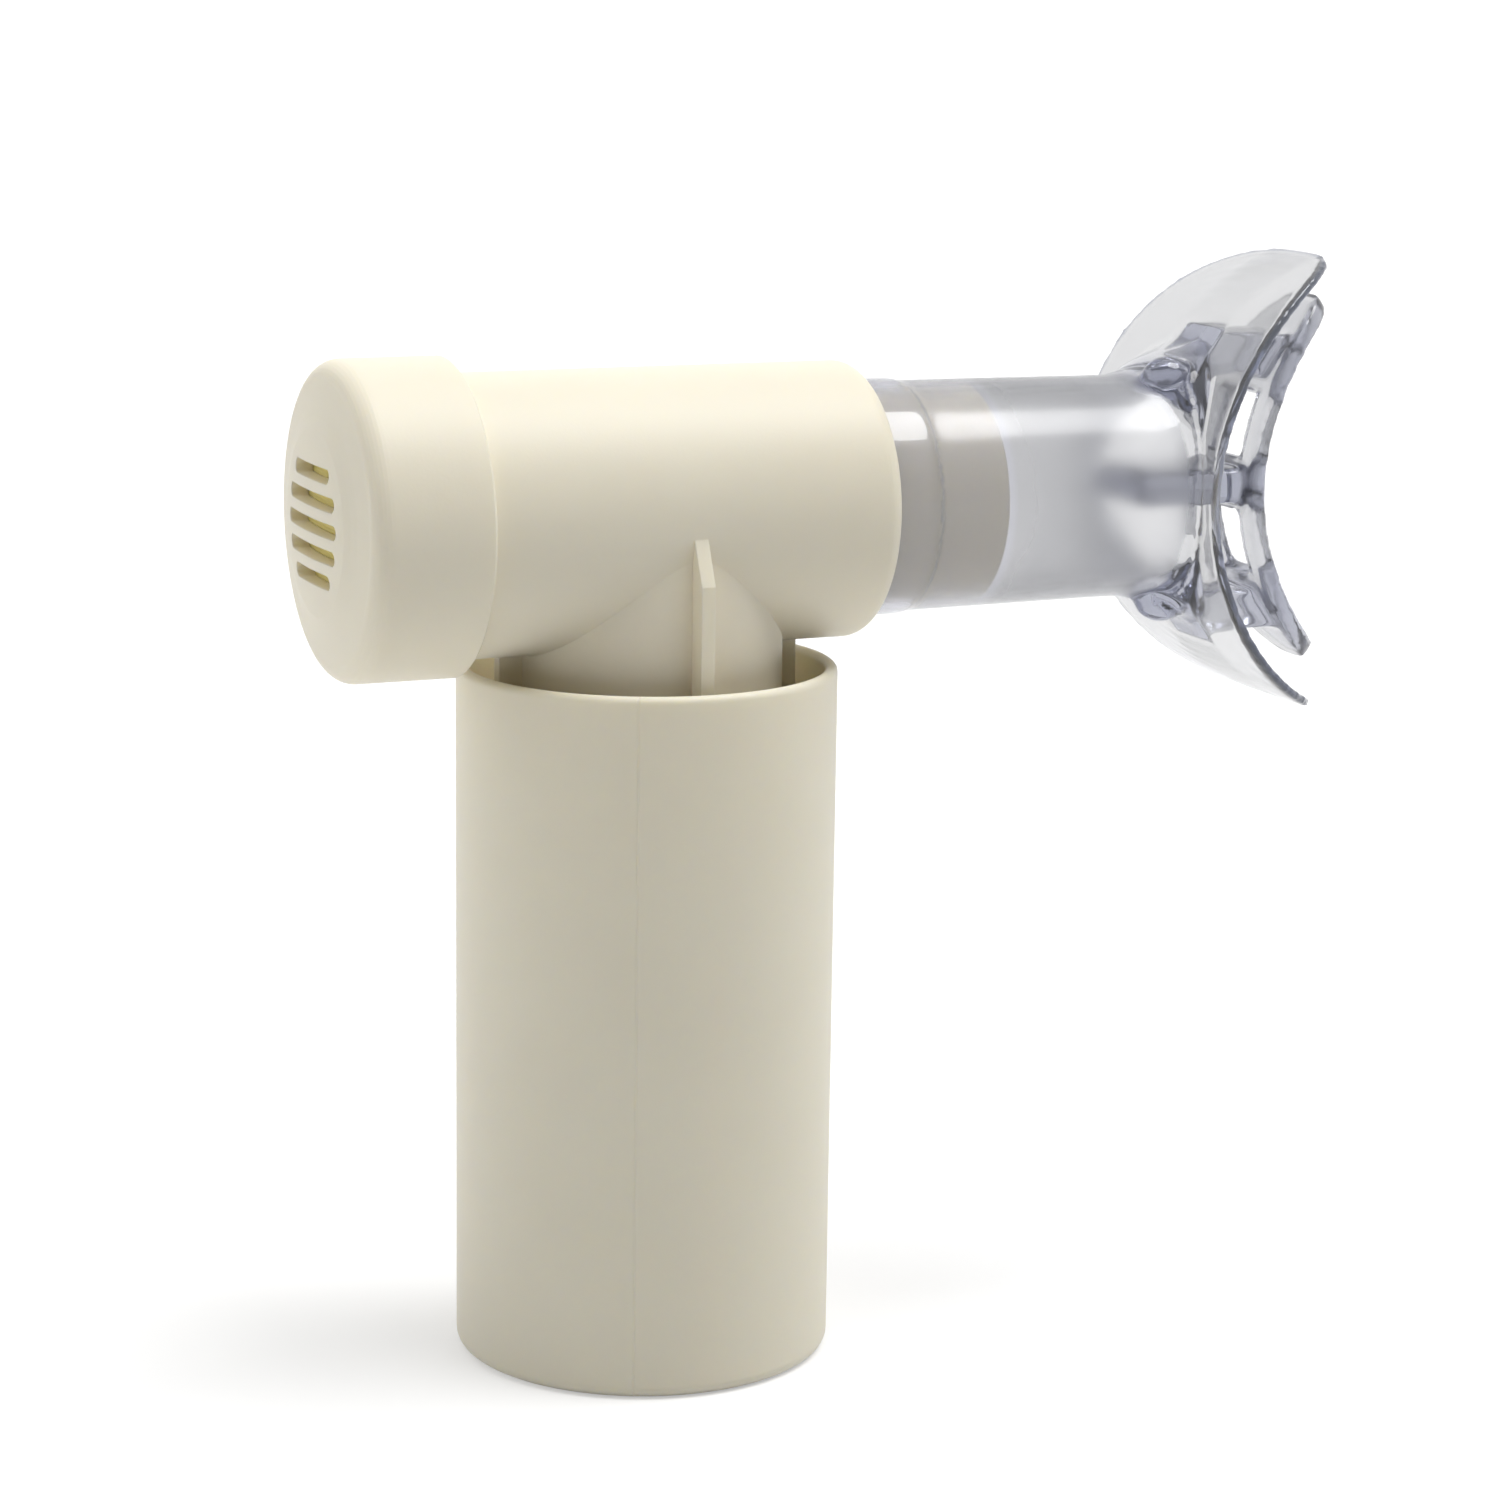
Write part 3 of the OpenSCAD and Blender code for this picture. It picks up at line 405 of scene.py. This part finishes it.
BOSS_Y, BOSS_Z, BOSS_RADII, BOSS_CLEAR_R = -5.6, 14.4, (3.6, 3.4, 3.1), AIRWAY_R + 0.3
BAR_X, BAR_SIZE, BAR_BEVEL = 74.6, (16.4, 12.8, 4.8), 1.2
VOXEL, FILLET_PASSES = 0.5, 6


def ring_of(bm, place, steps=96):
    """A closed loop of points, each put where place sends a point of the unit circle."""
    ring = bmesh.ops.create_circle(bm, segments=steps, radius=1)["verts"]
    for corner in ring:
        corner.co = place(corner.co.x, corner.co.y)
    return ring


def skinned(bm, rings):
    """Bridges each ring to the next, and the last to the first, so that they close a shell."""
    for near, far in zip(rings, rings[1:] + rings[:1]):
        near, far = set(near), set(far)
        sides = [edge for edge in bm.edges if {*edge.verts} <= near or {*edge.verts} <= far]
        bmesh.ops.bridge_loops(bm, edges=sides)


def squared(value, power):
    """Moves a coordinate of the unit circle outwards, for a squarer corner as the power grows."""
    return math.copysign(abs(value) ** (2 / power), value)


def neck_ring(x, half_w, half_h, power):
    """Loop round the neck at a place along it, round at a power of 2 and squarer above."""
    return lambda c, s: (x, half_w * squared(c, power), half_h * squared(s, power))


def sheet_ring(half_w, half_h, power):
    """Loop of the neck's end, in the middle of the lip shield's thickness."""
    bend = SHEET_R - SHEET_T / 2

    def place(c, s):
        y, z = half_w * squared(c, power), half_h * squared(s, power)
        return max(SHEET_X - math.sqrt(bend * bend - z * z), FACE_X), y, z
    return place


clear_shape = bmesh.new()
lathed(clear_shape, TUBE_OUTLINE, axis=(1, 0, 0), steps=96)
skinned(clear_shape, [ring_of(clear_shape, place) for place in (
    *[neck_ring(*station) for station in NECK_STATIONS],
    sheet_ring(NECK_END_HALF_W, NECK_END_HALF_H, NECK_END_POWER),
    sheet_ring(AIRWAY_R, AIRWAY_R, 2), neck_ring(NECK_X, AIRWAY_R, AIRWAY_R, 2))])

SHIELD_TIP = SHEET_R * math.asin(SHIELD_HALF_H / SHEET_R)


def shield_ring(share, radius):
    """Loop in the sheet, between the airway and the shield's outline, wrapped to a radius."""
    def place(c, s):
        y = AIRWAY_R * c * (1 - share) + SHIELD_HALF_W * squared(c, SHEET_POWER) * share
        arc = SHEET_R * math.asin(AIRWAY_R * s / SHEET_R) * (1 - share)
        arc += SHIELD_TIP * squared(s, SHEET_POWER) * share
        return SHEET_X - radius * math.cos(arc / SHEET_R), y, radius * math.sin(arc / SHEET_R)
    return place


shares = [loop / SHEET_LOOPS for loop in range(SHEET_LOOPS + 1)]
skinned(clear_shape, [ring_of(clear_shape, shield_ring(share, SHEET_R)) for share in shares] +
        [ring_of(clear_shape, shield_ring(share, SHEET_R - SHEET_T)) for share in reversed(shares)])

for side in (-1, 1):
    web = clear_shape.faces.new([clear_shape.verts.new((x, -WEB_W / 2, side * z)) for x, z in WEB_CORNERS])
    grown = bmesh.ops.extrude_face_region(clear_shape, geom=[web])["geom"]
    bmesh.ops.translate(clear_shape, vec=(0, WEB_W, 0),
                        verts=[part for part in grown if isinstance(part, bmesh.types.BMVert)])
    boss_place = Matrix.Translation((RING_X, BOSS_Y, side * BOSS_Z)) @ Matrix.Diagonal((*BOSS_RADII, 1))
    boss = bmesh.ops.create_uvsphere(clear_shape, u_segments=24, v_segments=12, radius=1,
                                     matrix=boss_place)["verts"]
    for corner in boss:
        corner.co.yz *= max(BOSS_CLEAR_R / corner.co.yz.length, 1)

bar_place = Matrix.Translation((BAR_X, 0, 0)) @ Matrix.Diagonal((*BAR_SIZE, 1))
bar = bmesh.ops.create_cube(clear_shape, size=1, matrix=bar_place)["verts"]
bar_edges = list(dict.fromkeys(edge for corner in bar for edge in corner.link_edges))
bmesh.ops.bevel(clear_shape, geom=bar_edges, offset=BAR_BEVEL, segments=3, profile=0.5, affect="EDGES",
                material=-1)

arch = bmesh.new()
bmesh.ops.create_grid(arch, x_segments=16, y_segments=64, size=1)
for corner in arch.verts:
    along = corner.co.y
    half_w = ARCH_HALF_W * max(1 - abs(along) ** ARCH_POWER, 0) ** (1 / ARCH_POWER)
    corner.co = (corner.co.x * max(half_w, ARCH_END_HALF_W), along * ARCH_R * ARCH_TURN, 0)
windows = [face for face in arch.faces if abs(face.calc_center_median().x) < ARCH_HALF_W / 2
           and WINDOW_FROM < abs(face.calc_center_median().y) < WINDOW_TO]
bmesh.ops.delete(arch, geom=windows, context="FACES")
for corner in arch.verts:
    turn = corner.co.y / ARCH_R
    corner.co = (ARCH_X - ARCH_R * math.cos(turn), corner.co.x, ARCH_R * math.sin(turn))
arch.normal_update()
bmesh.ops.solidify(arch, geom=arch.faces[:], thickness=-ARCH_T)
arch_mesh = mesh_from(arch, "bite_arch")
clear_shape.from_mesh(arch_mesh)
bpy.data.meshes.remove(arch_mesh)

bmesh.ops.recalc_face_normals(clear_shape, faces=clear_shape.faces)
bmesh.ops.translate(clear_shape, vec=(0, 0, AXIS_Z), verts=clear_shape.verts)


def one_skin(bm):
    """Merges overlapping shells into one skin, and smooths its seams as a mould's fillets would."""
    shells = placed("shells", mesh_from(bm, "shells"))
    joined = shells.modifiers.new("skin", "REMESH")
    joined.mode = "VOXEL"
    joined.voxel_size = VOXEL
    whole = settled(shells)
    skin = bmesh.new()
    skin.from_mesh(whole)
    bpy.data.meshes.remove(whole)
    for _ in range(FILLET_PASSES):
        bmesh.ops.smooth_vert(skin, verts=skin.verts, factor=0.5, use_axis_x=True, use_axis_y=True,
                              use_axis_z=True)
    for face in skin.faces:
        face.smooth = True
    return skin


# Painted shade: the vinyl's colour darkens at the shield's rim and in a band round the outside of the
# collar, for the dark edge and dark line that the clear plastic shows there.
COLLAR_PAINTED_SHADE, TUBE_TONE, NECK_TONE, OUTSIDE_FROST, WEB_FROST = 0.7, 0.1, 0.2, 0.5, 0.35
RIM_BAND, SHEET_BAND, NECK_BAND, SPIGOT_BAND = (0.9, 0.97), (1.2, 1.8), (67, 71), (43.7, 44.7)
COLLAR_MIDDLE, COLLAR_BAND, COLLAR_OUTSIDE = 33.6, (0.15, 0.45), (14.2, 14.4)
BORE_BAND, BORE_END, TUBE_START, TUBE_END = (13.45, 13.9), (69, 70), (33.6, 34.3), (66, 68)
WEB_START, WEB_SIDE = (72, 75), (5, 6)


def faded(value, start, end):
    """Zero up to start, one from end, and a smooth rise between."""
    share = min(max((value - start) / (end - start), 0), 1)
    return share * share * (3 - 2 * share)


def tone_share(x, y, z):
    """How dark the vinyl is coloured: least over the spigot, more in the tube and sheet, and painted shade
    up to one at the shield's rim and in a band round the collar, for the dark edge and line that clear
    plastic shows there.
    """
    away = math.hypot(z, SHEET_X - x)
    arc = SHEET_R * math.atan2(z, SHEET_X - x)
    reach = (abs(y) / SHIELD_HALF_W) ** SHEET_POWER + (abs(arc) / SHIELD_TIP) ** SHEET_POWER
    painted_rim_shade = faded(reach, *RIM_BAND) * (1 - faded(abs(away - SHEET_R + SHEET_T / 2), *SHEET_BAND))
    painted_collar_line = 1 - faded(abs(x - COLLAR_MIDDLE), *COLLAR_BAND)
    painted_collar_line *= COLLAR_PAINTED_SHADE * faded(math.hypot(y, z), *COLLAR_OUTSIDE)
    return max(painted_rim_shade, painted_collar_line, TUBE_TONE * faded(x, *SPIGOT_BAND) + NECK_TONE * faded(x, *NECK_BAND))


def frost_share(x, y, z):
    """One on the frosted airway, and less on the tube's outside past its collar and on the webs."""
    bore = (1 - faded(math.hypot(y, z), *BORE_BAND)) * (1 - faded(x, *BORE_END))
    outside = faded(x, *TUBE_START) * (1 - faded(x, *TUBE_END))
    webs = faded(x, *WEB_START) * (1 - faded(abs(y), *WEB_SIDE))
    return max(bore, OUTSIDE_FROST * outside, WEB_FROST * webs)


mouth_skin = one_skin(clear_shape)
# The tone layer carries the vinyl's tint and the painted shade at the shield's rim and the collar; the
# frost layer carries roughness.
for layer, share_at in (("tone", tone_share), ("frost", frost_share)):
    shares = mouth_skin.verts.layers.float.new(layer)
    for corner in mouth_skin.verts:
        corner[shares] = share_at(corner.co.x, corner.co.y, corner.co.z - AXIS_Z)

VINYL_IOR, VINYL_GLOSS, DEPTH_TINT, DEPTH_DENSITY = 1.44, 0.9, (0.6, 0.62, 0.73), 110
# Tints along the tone layer; the last, dark violet one is painted shade for the shield's rim and the
# collar line.
VINYL_TINTS_AND_PAINTED_SHADE = ((0, (0.78, 0.78, 0.81)), (0.1, (0.735, 0.735, 0.735)), (0.3, (0.69, 0.69, 0.685)),
               (1, (0.34, 0.37, 0.47)))
RIPPLE_SCALE, RIPPLE_DEPTH = 140, 0.05


def by_layer(tree, layer, low, high, start=0):
    """A shader value that goes from low to high as one of the skin's own layers goes from start to one."""
    value = node(tree, "MapRange")
    value.inputs["From Min"].default_value = start
    value.inputs["To Min"].default_value = low
    value.inputs["To Max"].default_value = high
    source = node(tree, "Attribute")
    source.attribute_name = layer
    tree.links.new(source.outputs["Fac"], value.inputs["Value"])
    return value.outputs["Result"]


vinyl, tree, shader, place = shader_of("clear_violet_vinyl")
shader.inputs["IOR"].default_value = VINYL_IOR
shader.inputs["Specular IOR Level"].default_value = VINYL_GLOSS
tint = node(tree, "ValToRGB")
tints = tint.color_ramp.elements
for tone, _ in VINYL_TINTS_AND_PAINTED_SHADE[1:-1]:
    tints.new(tone)
for step, (_, colour) in zip(tints, VINYL_TINTS_AND_PAINTED_SHADE):
    step.color = (*colour, 1)
tree.links.new(by_layer(tree, "tone", 0, 1), tint.inputs["Fac"])
tree.links.new(tint.outputs["Color"], shader.inputs["Base Color"])
# Painted shade: the rim and the collar band also let less light through.
tree.links.new(by_layer(tree, "tone", 0.96, 0.7, 0.3), shader.inputs["Transmission Weight"])
ripples = node(tree, "TexNoise", Scale=RIPPLE_SCALE, Detail=2)
tree.links.new(place, ripples.inputs["Vector"])
haze = node(tree, "MapRange")
tree.links.new(ripples.outputs["Fac"], haze.inputs["Value"])
tree.links.new(by_layer(tree, "frost", 0.03, 0.28), haze.inputs["To Min"])
tree.links.new(by_layer(tree, "frost", 0.08, 0.4), haze.inputs["To Max"])
tree.links.new(haze.outputs["Result"], shader.inputs["Roughness"])
bump = node(tree, "Bump", Strength=0.15, Distance=RIPPLE_DEPTH * MM)
tree.links.new(ripples.outputs["Fac"], bump.inputs["Height"])
tree.links.new(bump.outputs["Normal"], shader.inputs["Normal"])
depth = node(tree, "VolumeAbsorption", Color=(*DEPTH_TINT, 1), Density=DEPTH_DENSITY)
surface_end = shader.outputs["BSDF"].links[0].to_node
tree.links.new(depth.outputs["Volume"], surface_end.inputs["Volume"])
piece_from(mouth_skin, "clear_mouthpiece", "mouth", vinyl, ("mouthpiece",))
finish_nodes(vinyl, "mouthpiece")

# Studio: a white floor that keeps the shadow, one broad soft light overhead, and a surround that is
# bright behind and dim on the camera's side, as the photograph's highlights show.
FLOOR_HALF, FLOOR_DROP, FLOOR_TONE, FLOOR_LIFT, BOUNCE_TONE = 40, 0.00002, 0.62, 0.42, 0.66
BRIGHT_WAY, DIM_UP_TO, BRIGHT_FROM, BRIGHTNESS = (-0.04, 0.97, -0.25), -0.7, -0.18, 0.82
OVERHEAD_STRENGTH, OVERHEAD_SPREAD, OVERHEAD_AIM = 2.4, math.radians(36), (-0.29, 0.16, -0.95)


def by_view(tree, lights, shows):
    """Lights the object one way, and shows another to the camera, in mirrors and through clear plastic."""
    rays = node(tree, "LightPath")
    seen = rays.outputs["Is Camera Ray"]
    for kind in ("Is Glossy Ray", "Is Transmission Ray"):
        seen = larger(tree, seen, rays.outputs[kind])
    choice = node(tree, "MixShader")
    tree.links.new(seen, choice.inputs["Fac"])
    tree.links.new(lights, choice.inputs[1])
    tree.links.new(shows, choice.inputs[2])
    return choice.outputs["Shader"]


ground = bmesh.new()
bmesh.ops.create_grid(ground, x_segments=1, y_segments=1, size=FLOOR_HALF)
floor = placed("floor", mesh_from(ground, "floor"))
floor.location.z = -FLOOR_DROP
paper = bpy.data.materials.new("floor_paper")
paper.use_nodes = True
tree = paper.node_tree
tree.nodes.clear()
bounce = node(tree, "BsdfDiffuse", Color=(BOUNCE_TONE, BOUNCE_TONE, BOUNCE_TONE, 1))
dulled = node(tree, "BsdfDiffuse", Color=(FLOOR_TONE, FLOOR_TONE, FLOOR_TONE, 1))
lift = node(tree, "Emission", Color=(1, 1, 1, 1), Strength=FLOOR_LIFT)
lifted = node(tree, "AddShader")
tree.links.new(dulled.outputs["BSDF"], lifted.inputs[0])
tree.links.new(lift.outputs["Emission"], lifted.inputs[1])
shown = by_view(tree, bounce.outputs["BSDF"], lifted.outputs["Shader"])
tree.links.new(shown, node(tree, "OutputMaterial").inputs["Surface"])
floor.data.materials.append(paper)

world = bpy.data.worlds.new("studio")
bpy.context.scene.world = world
world.use_nodes = True
tree = world.node_tree
tree.nodes.clear()
facing = node(tree, "VectorMath")
facing.operation = "DOT_PRODUCT"
facing.inputs[1].default_value = BRIGHT_WAY
tree.links.new(node(tree, "TexCoord").outputs["Generated"], facing.inputs[0])
glow = node(tree, "MapRange")
glow.interpolation_type = "SMOOTHSTEP"
glow.inputs["From Min"].default_value = DIM_UP_TO
glow.inputs["From Max"].default_value = BRIGHT_FROM
glow.inputs["To Max"].default_value = BRIGHTNESS
tree.links.new(facing.outputs["Value"], glow.inputs["Value"])
surround = node(tree, "Background", Color=(1, 1, 1, 1))
tree.links.new(glow.outputs["Result"], surround.inputs["Strength"])
backdrop = node(tree, "Background", Color=(1, 1, 1, 1), Strength=1)
shown = by_view(tree, surround.outputs["Background"], backdrop.outputs["Background"])
tree.links.new(shown, node(tree, "OutputWorld").inputs["Surface"])

overhead = bpy.data.lights.new("overhead", "SUN")
overhead.energy, overhead.angle = OVERHEAD_STRENGTH, OVERHEAD_SPREAD
lamp = placed("overhead", overhead)
lamp.rotation_euler = Vector(OVERHEAD_AIM).to_track_quat("-Z", "Y").to_euler()

# Camera: at the photograph's viewing angle, a long lens a little above the unit's middle, looking
# down on it from the vent cap's side.
AZIMUTH, ELEVATION, ROLL = math.radians(23.3), math.radians(11.78), math.radians(0.79)
DISTANCE, SIDEWAYS, RAISED, MIDDLE_Z, LENS, SENSOR = 505.86, 13.15, 2.57, 75, 96, 36
look = Vector((math.sin(AZIMUTH) * math.cos(ELEVATION), math.cos(AZIMUTH) * math.cos(ELEVATION),
               -math.sin(ELEVATION)))
level = Vector((math.cos(AZIMUTH), -math.sin(AZIMUTH), 0))
above = level.cross(look)
right = level * math.cos(ROLL) + above * math.sin(ROLL)
up = above * math.cos(ROLL) - level * math.sin(ROLL)
stand = (Vector((0, 0, MIDDLE_Z)) - look * DISTANCE + right * SIDEWAYS + up * RAISED) * MM
camera = placed("camera", bpy.data.cameras.new("camera"))
camera.data.lens, camera.data.sensor_width = LENS, SENSOR
camera.matrix_world = Matrix(((right.x, up.x, -look.x, stand.x), (right.y, up.y, -look.y, stand.y),
                              (right.z, up.z, -look.z, stand.z), (0, 0, 0, 1)))
bpy.context.scene.camera = camera
bpy.context.scene.view_settings.view_transform = "Standard"
